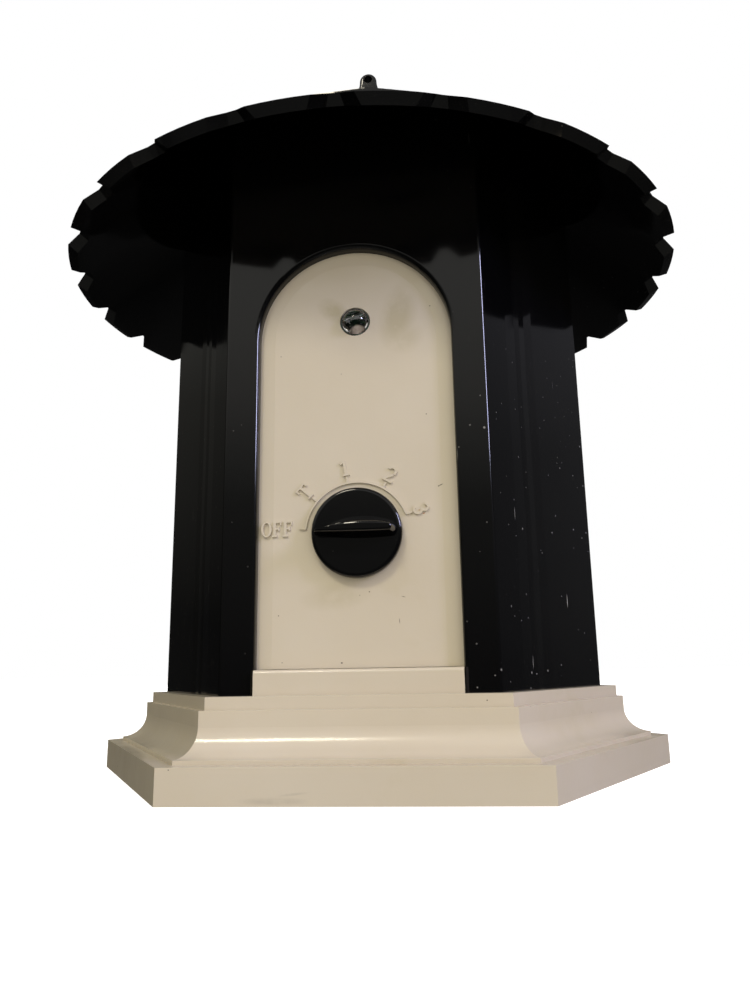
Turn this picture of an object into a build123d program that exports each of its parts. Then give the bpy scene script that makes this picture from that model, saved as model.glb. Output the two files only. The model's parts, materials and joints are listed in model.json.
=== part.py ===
from build123d import *
import math
import os

# Outdoor ultrasonic bark controller in a hexagonal bird-house casing.
# Frame: millimetres, +Z up, origin on the axis at the resting face, control side towards -Y.

# ---------------------------------------------------------------- driving dimensions
COS30 = math.cos(math.radians(30))

# stepped hexagonal plinth (corner radii and heights)
SLAB_R = 61.5
SLAB_TOP = 5.8
LIP_R = 58.0
LIP_TOP = 6.5
COVE_TOP_R = 52.8
COVE_TOP = 11.2
TIER_A_TOP = 13.9
TIER_B_R = 51.5
DECK_TOP = 16.1
DECK_UNDER = 13.9
EDGE_ROUND = 0.4

# hexagonal body
BODY_R = 48.3
WALL = 2.0
CORNER_ROUND = 0.8
BODY_AP = BODY_R * COS30
INNER_AP = BODY_AP - WALL
INNER_R = INNER_AP / COS30

# arched opening and the ivory insert behind it
ARCH_HALF = 18.1
ARCH_SPRING = 81.5
ARCH_LIP = 0.9
PANEL_THICK = 2.0
PANEL_HALF = 20.4
PANEL_FOOT = 16.8
CROWN = 0.25
CROWN_SIDE = 2.5
FOOT_HALF = 18.0
FOOT_TOP = 20.4
FOOT_PROUD = 1.0
RELIEF = 0.35

# conical roof
RIM_R = 70.3
RIM_Z = 110.4
SLOPE = 40.77
RIM_SETBACK = 2.05
RIM_DROP = 1.0
TABS = 24
NOTCH_DEPTH = 3.4
COURSES = 5
COURSE_STEP = 0.8
COURSE_TOP_R = 9.0
SHINGLES = (24, 24, 16, 12)
JOINT_WIDTH = 0.9
JOINT_DEPTH = 0.5
EYE_TOP = 174.0
EYE_HALF = 2.2
EYE_HOLE_R = 1.1
EYE_HOLE_Z = 172.0
EYE_THICK = 3.2
EYE_FOOT = 167.2
EYE_FLARE = 4.4
EYE_ROUND = 0.8

# knob and its rotary switch
KNOB_Z = 44.1
KNOB_R = 8.15
KNOB_THICK = 1.65
KNOB_GAP = 0.35
GRIP_PROUD = 3.5
GRIP_MID_Z = 0.4
# the grip's outline at the disc and at its crest: each corner, then a point on the arc that follows it
GRIP_FOOT = ((-7.2, 0.05), (0.4, 2.8), (6.4, 1.75), (7.3, 0.3),
             (6.7, -0.95), (0.0, -1.2), (-7.2, -0.45), (-7.4, -0.2))
GRIP_CREST = ((-6.9, -0.05), (0.2, 1.4), (5.8, 1.0), (6.5, 0.25),
              (5.9, -0.5), (0.0, -0.5), (-6.9, -0.4), (-7.05, -0.22))
GRIP_HALF_X = 7.0
GRIP_HALF_Z = 0.95
# the crest's rounded edge, and the angles along it that the loft passes through
GRIP_ROUND = 0.5
GRIP_ROUND_STEPS = (0, 25, 50, 65, 80, 90)
HUB_R = 2.95
HUB_DEEP = 2.3
SOCKET_DEEP = 3.0
SPINDLE_R = 2.0
RUNNING = 0.05
SWITCH_FRONT_Y = -35.2
SWITCH_HALF = 6.5
SWITCH_NOSE_R = 3.4
SWITCH_NOSE = 1.2
SWITCH_BORE_R = 4.8
SWITCH_BACK = 2.0
WIPER_FRONT_Y = -33.0
WIPER_R = 4.4
WIPER_THICK = 1.2
WIPER_PLAY = 0.4
SEAL_R = 5.0

# dial marks, measured from the knob's axis
DIAL_R = 9.45
DIAL_WIDTH = 0.35
TICK_OUT = 10.6
LABEL_R = 12.3
LABEL_SIZE = 2.9
OFF_X = -14.6
OFF_PITCH = 1.95
OFF_LIFT = 1.2
OFF_STOP = 173.5

# lamp
LED_Z = 85.1
LED_R = 2.5
LED_HOLE_R = 2.9
LED_COLLAR_R = 2.8
LED_COLLAR_DEEP = 0.3
LED_PROUD = 1.9
LED_BASE_Y = -32.4
LED_FLANGE_R = 2.9
LED_LEAD_X = 1.27
LED_LEAD_WIDE = 0.5

# circuit board in its slots
BOARD_Y = -27.0
BOARD_THICK = 1.6
BOARD_HALF = 18.5
BOARD_FOOT = 30.0
BOARD_TOP = 100.0
RAIL = 1.5
SLOT_PLAY = 0.15
BOARD_RAIL_X = 24.8
BOARD_RAIL_WIDE = 17.2
PANEL_RAIL_X = 21.7
PANEL_RAIL_WIDE = 5.2

# components on the back of the board: where each stands (x seen from behind, z) and its size
CHIP_AT = (-10.0, 76.0)
CHIP_SIZE = (6.4, 16.0)
CHIP_LIFT = 0.6
CHIP_THICK = 3.3
CHIP_LEAD = (0.8, 1.2)
CHIP_LEAD_X = 3.6
CHIP_LEADS = 6
CHIP_PITCH = 2.54
TRANSFORMER_AT = (9.5, 80.0)
TRANSFORMER_SIZE = (11.0, 13.0, 8.0)
CAPACITORS_AT = ((11.0, 95.0), (-11.0, 93.0))
CAPACITOR_R = 3.15
CAPACITOR_LONG = 9.0

# sounder and microphone on the rear panel
HORN_R = 13.5
HORN_Z = 81.5
HORN_LIP = 1.5
HORN_BOSS_R = 2.6
HORN_BOSS_LONG = 3.2
HORN_SCREW_R = 17.4
GRILLE_THICK = 1.0
GRILLE_HOLE_R = 0.85
GRILLE_PITCH_R = 1.35
GRILLE_HOLES = 9
CASE_R = 14.7
CASE_FLANGE_R = 20.0
CASE_WALL = 1.6
CASE_DEEP = 13.0
CONE_THICK = 0.8
PIEZO_R = 9.0
PIEZO_THICK = 0.5
MIC_Z = 54.0
MIC_R = 3.0
MIC_LONG = 3.4
MIC_SETBACK = 1.0
MIC_BOOT_R = 4.4
MIC_BOOT_LONG = 4.5
MIC_HOLE_R = 0.6
MIC_RING_R = 2.0

# battery bay, bottom plate and sliding cover
PLATE_LOW = 2.8
PLATE_TOP = 5.0
PLATE_R = 58.0
BATTERY = (26.5, 17.5, 46.4)
BAY_PLAY = 0.4
BAY_WALL = 1.5
BAY_TOP = 56.0
TERMINAL_X = 6.35
TERMINAL_R = 2.9
TERMINAL_HEX_R = 4.0
TERMINAL_H = 1.9
SNAP_SIZE = (25.0, 13.0)
SNAP_THICK = 3.0
COVER_LOW = 0.8
COVER_TOP = 2.6
COVER_HALF_X = 16.0
COVER_HALF_Y = 14.0
COVER_TRAVEL = 26.0
COVER_BODY_X = 14.6
TONGUE_LOW = 1.7
COVER_PLAY = 0.3
RAIL_WIDE = 2.0
RAIL_LIP_LOW = 0.6
RAIL_STOP = 1.6
GRIP_SLOTS = 5
GRIP_SLOT_PITCH = 2.2
GRIP_SLOT = (16.0, 1.0)
GRIP_SLOT_DEEP = 0.5

# screws
SCREW_R = 1.25
SCREW_HOLE_R = 1.5
PILOT_R = 1.3
HEAD_R = 2.7
HEAD_H = 1.8
BOSS_R = 3.5
PLATE_SCREW = 8.5
SHELL_SCREW = 10.0
ROOF_SCREW = 10.0

# hollow of the plinth, and the seal on its deck
HOLLOW_R = 54.0
HOLLOW_TOP_R = 50.2
HOLLOW_STEP = 9.5
DECK_OPENING = (33.0, 24.0)
GASKET_R = 37.5
GASKET_IN_R = 34.5
GASKET_THICK = 1.5

# ceiling plate that carries the roof
CEILING_LOW = 113.4
CEILING_TOP = 115.9
CEILING_HOLE_R = 11.0
LEDGE_Z = 116.0
LEDGE_THICK = 2.0
LEDGE_REACH = 3.0

# ---------------------------------------------------------------- derived sizes
TAN_SLOPE = math.tan(math.radians(SLOPE))
APEX_Z = RIM_Z + RIM_R * TAN_SLOPE
UNDER_R = RIM_R - RIM_SETBACK
COURSE_RUN = (RIM_R - COURSE_TOP_R) / COURSES
UNDER_APEX_Z = RIM_Z - RIM_DROP + UNDER_R * TAN_SLOPE
PANEL_FACE_Y = -INNER_AP
CROWN_Y = PANEL_FACE_Y - CROWN
PANEL_BACK_Y = PANEL_FACE_Y + PANEL_THICK
KNOB_BACK_Y = CROWN_Y - KNOB_GAP
KNOB_FACE_Y = KNOB_BACK_Y - KNOB_THICK
BOARD_BACK_Y = BOARD_Y + BOARD_THICK
BOARD_RAILS = (BOARD_Y - RAIL / 2 - SLOT_PLAY, BOARD_BACK_Y + RAIL / 2 + SLOT_PLAY)
SHELL_BOSS = [(36.6 * math.cos(a), 36.6 * math.sin(a)) for a in map(math.radians, (30, 150, 210, 330))]
PLATE_BOSS = [(sx * 22.0, sy * 38.0) for sx in (-1, 1) for sy in (-1, 1)]
ROOF_BOSS = [(sx * 24.0, sy * 16.0) for sx in (-1, 1) for sy in (-1, 1)]

os.makedirs("parts", exist_ok=True)


# ---------------------------------------------------------------- shared shapes
def at_y(y):
    """Plane facing -Y through the given y, with local x along +X and local y along +Z."""
    return Plane.XZ.offset(-y)


def at_rear(y):
    """Plane facing +Y through the given y, with local x along -X and local y along +Z."""
    return Plane(origin=(0, y, 0), x_dir=(-1, 0, 0), z_dir=(0, 1, 0))


def hexagon(corner_radius):
    """Regular hexagon with a flat side towards -Y."""
    return RegularPolygon(corner_radius, 6, mode=Mode.PRIVATE)


def arch(half_width, foot):
    """Arched doorway outline: straight sides and a semicircular top."""
    with BuildSketch(mode=Mode.PRIVATE) as outline:
        with BuildLine():
            spring = (half_width, ARCH_SPRING)
            Line((-half_width, foot), (half_width, foot))
            Line((half_width, foot), spring)
            ThreePointArc(spring, (0, ARCH_SPRING + half_width), (-half_width, ARCH_SPRING))
            Line((-half_width, ARCH_SPRING), (-half_width, foot))
        make_face()
    return outline.sketch


def under_roof(clearance):
    """Everything above the roof's smooth underside, lowered by a clearance."""
    with BuildPart(mode=Mode.PRIVATE) as space:
        with BuildSketch(Plane.XZ):
            with BuildLine():
                low = UNDER_APEX_Z - clearance - BODY_R * 1.2 * TAN_SLOPE
                Polyline(
                    (0, UNDER_APEX_Z - clearance),
                    (BODY_R * 1.2, low),
                    (BODY_R * 1.2, UNDER_APEX_Z + 10),
                    (0, UNDER_APEX_Z + 10),
                    close=True,
                )
            make_face()
        revolve(axis=Axis.Z)
    return space.part


def upward_screw(head_low, length):
    """Pan-head screw pointing +Z with a cross recess, its head's underside face at the bottom."""
    with BuildPart(mode=Mode.PRIVATE) as screw:
        with BuildSketch(Plane.XY.offset(head_low)):
            Circle(HEAD_R)
        extrude(amount=HEAD_H)
        fillet(screw.edges().group_by(Axis.Z)[0], 0.5)
        with BuildSketch(Plane.XY.offset(head_low + HEAD_H)):
            Circle(SCREW_R)
        extrude(amount=length)
        chamfer(screw.edges().group_by(Axis.Z)[-1], 0.6)
        with BuildSketch(Plane.XY.offset(head_low)):
            Rectangle(2.8, 0.6)
            Rectangle(0.6, 2.8)
        extrude(amount=0.9, mode=Mode.SUBTRACT)
    return screw.part


# ---------------------------------------------------------------- plinth
def plinth_sector():
    """One sixth of the moulding: its profile run along the side and cut to a 60 degree wedge."""
    slab = SLAB_R * COS30
    lip = LIP_R * COS30
    cove = COVE_TOP_R * COS30
    tier = TIER_B_R * COS30
    middle = ((lip + cove) / 2 - 0.9, (LIP_TOP + COVE_TOP) / 2 - 0.9)
    with BuildPart(mode=Mode.PRIVATE) as sector:
        with BuildSketch(Plane.YZ):
            with BuildLine():
                Polyline((0, 0), (slab, 0), (slab, SLAB_TOP), (lip, SLAB_TOP), (lip, LIP_TOP))
                ThreePointArc((lip, LIP_TOP), middle, (cove, COVE_TOP))
                Polyline((cove, COVE_TOP), (cove, TIER_A_TOP), (tier, TIER_A_TOP), (tier, DECK_TOP),
                         (0, DECK_TOP), (0, 0))
            face = make_face()
            corners = [(slab, SLAB_TOP), (cove, TIER_A_TOP), (tier, DECK_TOP)]
            sharp = [v for v in face.vertices() for c in corners if abs(v.Y - c[0]) + abs(v.Z - c[1]) < 0.01]
            fillet(sharp, EDGE_ROUND)
        extrude(amount=SLAB_R, both=True)
        with BuildSketch():
            with BuildLine():
                Polyline((0, 0), (SLAB_R, 2 * SLAB_R * COS30), (-SLAB_R, 2 * SLAB_R * COS30), close=True)
            make_face()
        extrude(amount=DECK_TOP, mode=Mode.INTERSECT)
    return sector.part


def foot_block(facing):
    """Ivory block closing the foot of the arch, standing on the deck."""
    front = BODY_AP + FOOT_PROUD
    depth = front - (-CROWN_Y) - 0.1
    with BuildPart(mode=Mode.PRIVATE) as block:
        with BuildSketch(Plane.XY.offset(DECK_TOP)):
            with Locations((0, facing * (front - depth / 2))):
                Rectangle(2 * FOOT_HALF, depth)
        extrude(amount=FOOT_TOP - DECK_TOP)
        outer = block.faces().sort_by(Axis.Y)[0 if facing < 0 else -1]
        fillet(outer.edges().sort_by(Axis.Z)[-1:], 0.6)
    return block.part


with BuildPart() as base_plinth:
    with PolarLocations(0, 6, start_angle=0):
        add(plinth_sector())
    # recess for the bottom plate, hollow moulding above it, cable and battery opening in the deck
    with BuildSketch():
        add(hexagon(PLATE_R + 0.3))
    extrude(amount=PLATE_TOP, mode=Mode.SUBTRACT)
    with BuildSketch(Plane.XY.offset(PLATE_TOP)):
        add(hexagon(HOLLOW_R))
    with BuildSketch(Plane.XY.offset(HOLLOW_STEP)):
        add(hexagon(HOLLOW_TOP_R))
    loft(mode=Mode.SUBTRACT)
    with BuildSketch(Plane.XY.offset(HOLLOW_STEP)):
        add(hexagon(HOLLOW_TOP_R))
    extrude(amount=DECK_UNDER - HOLLOW_STEP, mode=Mode.SUBTRACT)
    with BuildSketch():
        Rectangle(*DECK_OPENING)
    extrude(amount=DECK_TOP, mode=Mode.SUBTRACT)
    with BuildSketch(Plane.XY.offset(PLATE_TOP)):
        with Locations(*PLATE_BOSS):
            Circle(BOSS_R)
    extrude(amount=DECK_UNDER - PLATE_TOP)
    with BuildSketch(Plane.XY.offset(PLATE_TOP)):
        with Locations(*PLATE_BOSS):
            Circle(PILOT_R)
    extrude(amount=PLATE_SCREW - 1.1, mode=Mode.SUBTRACT)
    with BuildSketch(Plane.XY.offset(DECK_UNDER)):
        with Locations(*SHELL_BOSS):
            Circle(SCREW_HOLE_R + 0.2)
    extrude(amount=DECK_TOP - DECK_UNDER, mode=Mode.SUBTRACT)
    add(foot_block(-1))
    add(foot_block(1))
base_plinth.part.label = "base_plinth"
export_step(base_plinth.part, "parts/base_plinth.step")


# ---------------------------------------------------------------- bottom plate and battery bay
bay_x = BATTERY[0] + 2 * BAY_PLAY
bay_y = BATTERY[1] + 2 * BAY_PLAY
rail_in = COVER_HALF_X + COVER_PLAY
rail_out = rail_in + RAIL_WIDE
rail_len = 2 * COVER_HALF_Y + COVER_TRAVEL + 2.0
rail_mid = COVER_TRAVEL / 2
lip_in = COVER_BODY_X + COVER_PLAY

with BuildPart() as bottom_plate:
    with BuildSketch(Plane.XY.offset(PLATE_LOW)):
        add(hexagon(PLATE_R))
    extrude(amount=PLATE_TOP - PLATE_LOW)
    with BuildSketch(Plane.XY.offset(PLATE_LOW)):
        Rectangle(bay_x, bay_y)
    extrude(amount=PLATE_TOP - PLATE_LOW, mode=Mode.SUBTRACT)
    with BuildSketch(Plane.XY.offset(PLATE_LOW)):
        with Locations(*PLATE_BOSS):
            Circle(SCREW_HOLE_R)
    extrude(amount=PLATE_TOP - PLATE_LOW, mode=Mode.SUBTRACT)
    # rails the cover slides in
    with BuildSketch(Plane.XY.offset(RAIL_LIP_LOW)):
        for side in (-1, 1):
            with Locations((side * (lip_in + rail_out) / 2, rail_mid)):
                Rectangle(rail_out - lip_in, rail_len)
        with Locations((0, -COVER_HALF_Y - 1.0 - RAIL_STOP / 2)):
            Rectangle(2 * rail_out, RAIL_STOP)
    extrude(amount=PLATE_LOW - RAIL_LIP_LOW)
    with BuildSketch(Plane.XY.offset(TONGUE_LOW - 0.2)):
        for side in (-1, 1):
            with Locations((side * (lip_in + rail_in) / 2, rail_mid)):
                Rectangle(rail_in - lip_in, rail_len)
    extrude(amount=PLATE_LOW - TONGUE_LOW + 0.2, mode=Mode.SUBTRACT)
bottom_plate.part.label = "bottom_plate"
export_step(bottom_plate.part, "parts/bottom_plate.step")

with BuildPart() as battery_cover:
    with BuildSketch(Plane.XY.offset(COVER_LOW)):
        RectangleRounded(2 * COVER_BODY_X, 2 * COVER_HALF_Y, 1.0)
    extrude(amount=COVER_TOP - COVER_LOW)
    with BuildSketch(Plane.XY.offset(TONGUE_LOW)):
        Rectangle(2 * COVER_HALF_X, 2 * COVER_HALF_Y)
    extrude(amount=COVER_TOP - TONGUE_LOW)
    with BuildSketch(Plane.XY.offset(COVER_LOW)):
        with GridLocations(0, GRIP_SLOT_PITCH, 1, GRIP_SLOTS):
            SlotOverall(*GRIP_SLOT)
    extrude(amount=GRIP_SLOT_DEEP, mode=Mode.SUBTRACT)
battery_cover.part.label = "battery_cover"
export_step(battery_cover.part, "parts/battery_cover.step")

with BuildPart() as battery_bay:
    with BuildSketch(Plane.XY.offset(PLATE_TOP)):
        Rectangle(bay_x + 2 * BAY_WALL, bay_y + 2 * BAY_WALL)
        Rectangle(bay_x, bay_y, mode=Mode.SUBTRACT)
    extrude(amount=BAY_TOP - PLATE_TOP)
battery_bay.part.label = "battery_bay"
export_step(battery_bay.part, "parts/battery_bay.step")

battery_low = COVER_TOP + 0.3
battery_top = battery_low + BATTERY[2]
with BuildPart() as battery:
    with BuildSketch(Plane.XY.offset(battery_low)):
        RectangleRounded(BATTERY[0], BATTERY[1], 2.0)
    extrude(amount=BATTERY[2])
    chamfer(battery.edges().group_by(Axis.Z)[-1], 0.4)
battery.part.label = "battery"
export_step(battery.part, "parts/battery.step")

with BuildPart() as battery_terminals:
    with BuildSketch(Plane.XY.offset(battery_top)):
        with Locations((-TERMINAL_X, 0)):
            Circle(TERMINAL_R)
        with Locations((TERMINAL_X, 0)):
            RegularPolygon(TERMINAL_HEX_R, 6)
    extrude(amount=TERMINAL_H)
battery_terminals.part.label = "battery_terminals"
export_step(battery_terminals.part, "parts/battery_terminals.step")

snap_low = battery_top + TERMINAL_H + 0.1
snap_top = snap_low + SNAP_THICK
with BuildPart() as battery_snap:
    with BuildSketch(Plane.XY.offset(snap_low)):
        RectangleRounded(*SNAP_SIZE, 3.0)
    extrude(amount=SNAP_THICK)
    fillet(battery_snap.edges().group_by(Axis.Z)[-1], 0.8)
battery_snap.part.label = "battery_snap"
export_step(battery_snap.part, "parts/battery_snap.step")

with BuildPart() as plate_screws:
    with Locations(*[(x, y, 0) for x, y in PLATE_BOSS]):
        add(upward_screw(PLATE_LOW - HEAD_H, PLATE_SCREW))
plate_screws.part.label = "plate_screws"
export_step(plate_screws.part, "parts/plate_screws.step")

with BuildPart() as shell_screws:
    with Locations(*[(x, y, 0) for x, y in SHELL_BOSS]):
        add(upward_screw(DECK_UNDER - HEAD_H, SHELL_SCREW))
shell_screws.part.label = "shell_screws"
export_step(shell_screws.part, "parts/shell_screws.step")

with BuildPart() as base_gasket:
    with BuildSketch(Plane.XY.offset(DECK_TOP)):
        add(hexagon(GASKET_R))
        add(hexagon(GASKET_IN_R), mode=Mode.SUBTRACT)
    extrude(amount=GASKET_THICK)
base_gasket.part.label = "base_gasket"
export_step(base_gasket.part, "parts/base_gasket.step")


# ---------------------------------------------------------------- body shells
def half_shell(facing):
    """Half of the hexagonal tube, split at its side corners, with the arched opening in its main face."""
    wall_plane = at_y(-BODY_AP) if facing < 0 else at_rear(BODY_AP)
    height = UNDER_APEX_Z - DECK_TOP
    with BuildPart(mode=Mode.PRIVATE) as shell:
        with BuildSketch(Plane.XY.offset(DECK_TOP)):
            add(hexagon(BODY_R))
            fillet(vertices(), CORNER_ROUND)
            add(hexagon(INNER_R), mode=Mode.SUBTRACT)
        extrude(amount=height)
        with BuildSketch(Plane.XY.offset(LEDGE_Z)):
            add(hexagon(INNER_R + WALL / 4))
            add(hexagon(INNER_R - LEDGE_REACH), mode=Mode.SUBTRACT)
        extrude(amount=LEDGE_THICK)
        with BuildSketch(Plane.XY.offset(DECK_TOP)):
            with Locations(*SHELL_BOSS):
                Circle(BOSS_R - 0.1)
        extrude(amount=SHELL_SCREW + 3.0)
        with BuildSketch(Plane.XY.offset(DECK_TOP)):
            with Locations(*SHELL_BOSS):
                Circle(PILOT_R)
        extrude(amount=SHELL_SCREW + 1.0, mode=Mode.SUBTRACT)
        # guide rails behind the wall for the ivory insert
        with BuildSketch(Plane.XY.offset(DECK_TOP)):
            for side in (-1, 1):
                rail_y = facing * (-PANEL_BACK_Y - SLOT_PLAY - RAIL / 2)
                with Locations((side * PANEL_RAIL_X, rail_y)):
                    Rectangle(PANEL_RAIL_WIDE, RAIL)
        extrude(amount=ARCH_SPRING - DECK_TOP)
        if facing < 0:
            with BuildSketch(Plane.XY.offset(BOARD_FOOT)):
                for side in (-1, 1):
                    for rail_y in BOARD_RAILS:
                        with Locations((side * BOARD_RAIL_X, rail_y)):
                            Rectangle(BOARD_RAIL_WIDE, RAIL)
            extrude(amount=BOARD_TOP - BOARD_FOOT)
        # rails that run on past the wall are trimmed to the casing's outline, then the far half goes
        with BuildSketch(Plane.XY.offset(DECK_TOP)):
            add(hexagon(BODY_R))
        extrude(amount=height, mode=Mode.INTERSECT)
        split_plane = Plane.XZ if facing < 0 else Plane.XZ.rotated((180, 0, 0))
        split(bisect_by=split_plane, keep=Keep.TOP)
        with BuildSketch(wall_plane):
            add(arch(ARCH_HALF, DECK_TOP))
        extrude(amount=-WALL, mode=Mode.SUBTRACT)
        wall_y = facing * BODY_AP
        face_edges = shell.edges().filter_by_position(Axis.Y, wall_y - 0.01, wall_y + 0.01)
        lip = [e for e in face_edges if abs(e.center().X) < ARCH_HALF + 0.1 and e.center().Z < RIM_Z]
        fillet(lip, ARCH_LIP)
        add(under_roof(0.1), mode=Mode.SUBTRACT)
    return shell.part


with BuildPart() as front_shell:
    add(half_shell(-1))
front_shell.part.label = "front_shell"
export_step(front_shell.part, "parts/front_shell.step")

with BuildPart() as rear_shell:
    add(half_shell(1))
rear_shell.part.label = "rear_shell"
export_step(rear_shell.part, "parts/rear_shell.step")


# ---------------------------------------------------------------- ivory inserts in the two arches
def insert_panel(facing):
    """Arched plate behind the opening with a crowned field: its long edges fall away gently."""
    plane = at_y(PANEL_BACK_Y) if facing < 0 else at_rear(-PANEL_BACK_Y)
    face_y = facing * -PANEL_FACE_Y
    with BuildPart(mode=Mode.PRIVATE) as panel:
        with BuildSketch(plane):
            add(arch(PANEL_HALF, PANEL_FOOT))
        extrude(amount=PANEL_THICK)
        for rise, inset in ((0, 0), (CROWN, CROWN_SIDE)):
            level = face_y + facing * rise
            with BuildSketch(at_y(level) if facing < 0 else at_rear(level)):
                add(arch(ARCH_HALF - 0.25 - inset, FOOT_TOP + 0.1))
        loft()
    return panel.part


def dial_mark(angle, inner, outer):
    """Radial tick on the dial, its angle counted anticlockwise from +X in the panel's view."""
    middle = (inner + outer) / 2
    spot = (middle * math.cos(math.radians(angle)), KNOB_Z + middle * math.sin(math.radians(angle)))
    with Locations(spot):
        Rectangle(outer - inner, DIAL_WIDTH, rotation=angle)


def arc_band(centre, radius, width, start, size):
    """Flat band that follows an arc, added to the sketch in hand."""
    near = radius - width / 2
    far = radius + width / 2
    with BuildSketch(mode=Mode.PRIVATE) as band:
        with BuildLine():
            inner = CenterArc(centre, near, start, size)
            outer = CenterArc(centre, far, start, size)
            Line(inner @ 0, outer @ 0)
            Line(inner @ 1, outer @ 1)
        make_face()
    add(band.sketch)


def glyph(character):
    """Serif letter or numeral, centred, three units tall before scaling to LABEL_SIZE."""
    stem, bar = 0.5, 0.34
    with BuildSketch(mode=Mode.PRIVATE) as shape:
        if character == "O":
            Ellipse(1.0, 1.5)
            Ellipse(0.6, 1.2, mode=Mode.SUBTRACT)
        if character == "F":
            with Locations((-0.45, 0)):
                Rectangle(stem, 3.0)
            with Locations((0.0, 1.33)):
                Rectangle(1.6, bar)
            with Locations((-0.05, 0.05)):
                Rectangle(1.0, bar)
            with Locations((0.7, 1.1), (0.35, 0.05)):
                Rectangle(0.24, 0.8)
        if character == "T":
            Rectangle(stem, 3.0)
            with Locations((0, 1.33)):
                Rectangle(2.4, bar)
            with Locations((-1.05, 1.05), (1.05, 1.05)):
                Rectangle(bar, 0.9)
        if character == "1":
            Rectangle(stem, 3.0)
            with Locations((-0.4, 1.1)):
                Rectangle(0.9, bar, rotation=30)
        if character == "F":
            with Locations((-0.45, -1.33)):
                Rectangle(1.0, bar)
        if character in "T1":
            with Locations((0, -1.33)):
                Rectangle(1.3, bar)
        if character == "2":
            arc_band((0, 0.68), 0.72, 0.45, -35, 200)
            with Locations((-0.12, -0.55)):
                Rectangle(0.45, 2.0, rotation=-45)
            with Locations((0.05, -1.3)):
                Rectangle(2.0, 0.42)
        if character == "3":
            arc_band((0, 0.7), 0.62, 0.42, -95, 250)
            arc_band((0, -0.66), 0.74, 0.42, -155, 250)
        scale(by=LABEL_SIZE / 3.0)
    return shape.sketch


def dial_label(character, angle):
    """Raised mark set around the dial with its foot towards the knob."""
    spot = (LABEL_R * math.cos(math.radians(angle)), KNOB_Z + LABEL_R * math.sin(math.radians(angle)))
    with Locations(Location((spot[0], spot[1], 0), (0, 0, angle - 90))):
        add(glyph(character))


DIAL_STOPS = (("T", 140), ("1", 100), ("2", 60), ("3", 20))

with BuildPart() as control_panel:
    add(insert_panel(-1))
    with BuildSketch(at_y(PANEL_BACK_Y)):
        with Locations((0, KNOB_Z)):
            Circle(HUB_R + 0.35)
        with Locations((0, LED_Z)):
            Circle(LED_HOLE_R)
    extrude(amount=PANEL_THICK + CROWN, mode=Mode.SUBTRACT)
    with BuildSketch(at_y(PANEL_FACE_Y)):
        arc_band((0, KNOB_Z), DIAL_R, DIAL_WIDTH, DIAL_STOPS[-1][1], OFF_STOP - DIAL_STOPS[-1][1])
        for label, stop in DIAL_STOPS:
            dial_mark(stop, DIAL_R, TICK_OUT)
            dial_label(label, stop)
        dial_mark(OFF_STOP, DIAL_R, TICK_OUT)
        for character, shift in (("O", -1), ("F", 0), ("F", 1)):
            with Locations((OFF_X + shift * OFF_PITCH, KNOB_Z + OFF_LIFT)):
                add(glyph(character))
    extrude(amount=CROWN + RELIEF)
control_panel.part.label = "control_panel"
export_step(control_panel.part, "parts/control_panel.step")

def ring_of(radius, angles, height=0.0):
    """Points around a circle, at angles in degrees."""
    return [(radius * math.cos(a), height + radius * math.sin(a)) for a in map(math.radians, angles)]


MIC_HOLES = [(0, MIC_Z)] + ring_of(MIC_RING_R, range(0, 360, 60), MIC_Z)
HORN_SCREWS = ring_of(HORN_SCREW_R, (90, 210, 330), HORN_Z)

with BuildPart() as rear_panel:
    add(insert_panel(1))
    with BuildSketch(at_rear(-PANEL_BACK_Y)):
        with Locations((0, HORN_Z)):
            Circle(HORN_R)
        with Locations(*MIC_HOLES):
            Circle(MIC_HOLE_R)
    extrude(amount=PANEL_THICK + CROWN, mode=Mode.SUBTRACT)
    with BuildSketch(at_rear(-PANEL_FACE_Y + CROWN - 0.05)):
        with Locations((0, HORN_Z)):
            Circle(HORN_R + HORN_LIP)
            Circle(HORN_R, mode=Mode.SUBTRACT)
    extrude(amount=0.7)
    fillet(rear_panel.faces().sort_by(Axis.Y)[-1].edges(), 0.3)
    with BuildSketch(at_y(-PANEL_BACK_Y)):
        with Locations(*HORN_SCREWS):
            Circle(HORN_BOSS_R)
            Circle(PILOT_R, mode=Mode.SUBTRACT)
    extrude(amount=HORN_BOSS_LONG)
rear_panel.part.label = "rear_panel"
export_step(rear_panel.part, "parts/rear_panel.step")


# ---------------------------------------------------------------- knob, spindle and rotary switch
def grip_outline(points, inset=0.0):
    """Outline of four arcs, drawn in towards the grip's middle by an inset."""
    across = 1 - inset / GRIP_HALF_X
    down = 1 - inset / GRIP_HALF_Z
    ring = [(x * across, KNOB_Z + GRIP_MID_Z + (z - GRIP_MID_Z) * down) for x, z in points]
    with BuildSketch(mode=Mode.PRIVATE) as outline:
        with BuildLine():
            for k in range(0, len(ring), 2):
                ThreePointArc(ring[k], ring[k + 1], ring[(k + 2) % len(ring)])
        make_face()
    return outline.sketch


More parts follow.
